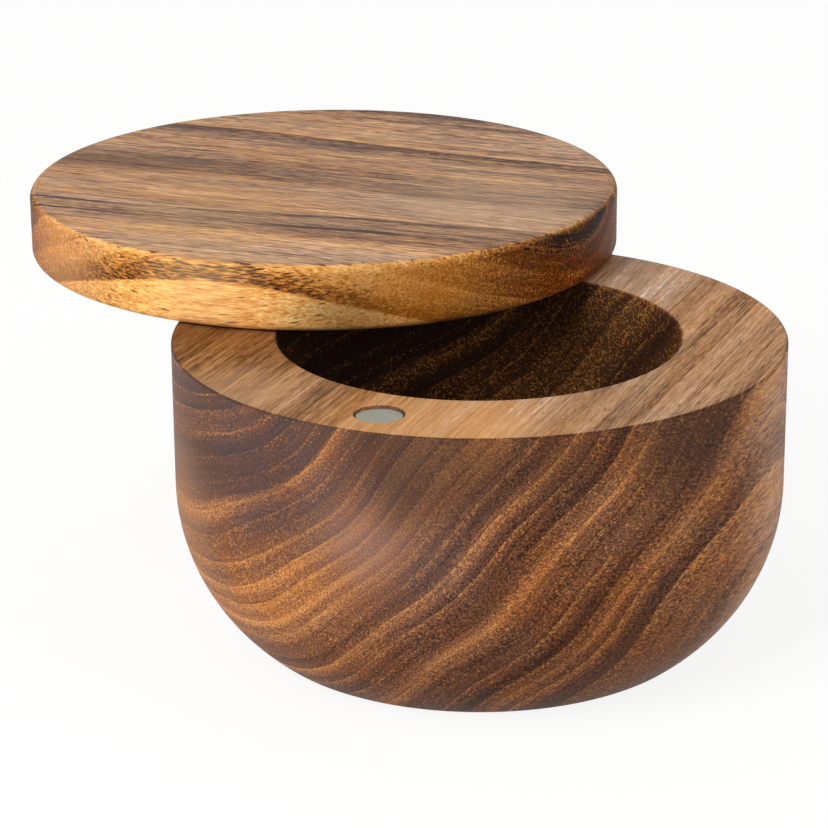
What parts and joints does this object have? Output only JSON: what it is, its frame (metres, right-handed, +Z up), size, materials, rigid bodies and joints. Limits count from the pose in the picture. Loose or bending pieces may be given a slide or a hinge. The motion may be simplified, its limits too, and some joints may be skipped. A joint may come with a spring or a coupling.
{
  "type": "salt keeper",
  "caption": "Turned wooden salt keeper: a thick round bowl with a flat disc lid that swivels sideways on an upright pin and is held shut by magnets.",
  "frame": {"origin": "on the bowl's turning axis, in the plane that the bowl stands on", "axes": "+Z up along the bowl's turning axis; +Y towards the lid's pivot pin, so the rim's magnet is at -Y; the lid is swung open towards -X at rest, and is shut at +81.2 degrees of lid_swivel"},
  "size_m": [0.152, 0.1454, 0.0654],
  "materials": {
    "bowl_acacia": "oiled acacia heartwood, satin, end grain showing on the front of the wall",
    "lid_acacia": "oiled acacia, satin, flat-sawn face with golden edges",
    "magnet_nickel": "dull nickel plating, lightly scratched",
    "pin_steel": "ground steel dowel"
  },
  "bodies": {
    "bowl": {"bowl": "bowl_acacia", "rim_magnet": "magnet_nickel"},
    "lid": {"lid": "lid_acacia", "lid_magnet": "magnet_nickel", "pivot_pin": "pin_steel"}
  },
  "joints": [
    {"name": "lid_swivel", "type": "hinge", "parent": "bowl", "child": "lid", "pos_m": [0, 0.0463, 0.0533], "axis": [0, 0, 1], "continuous": true}
  ]
}
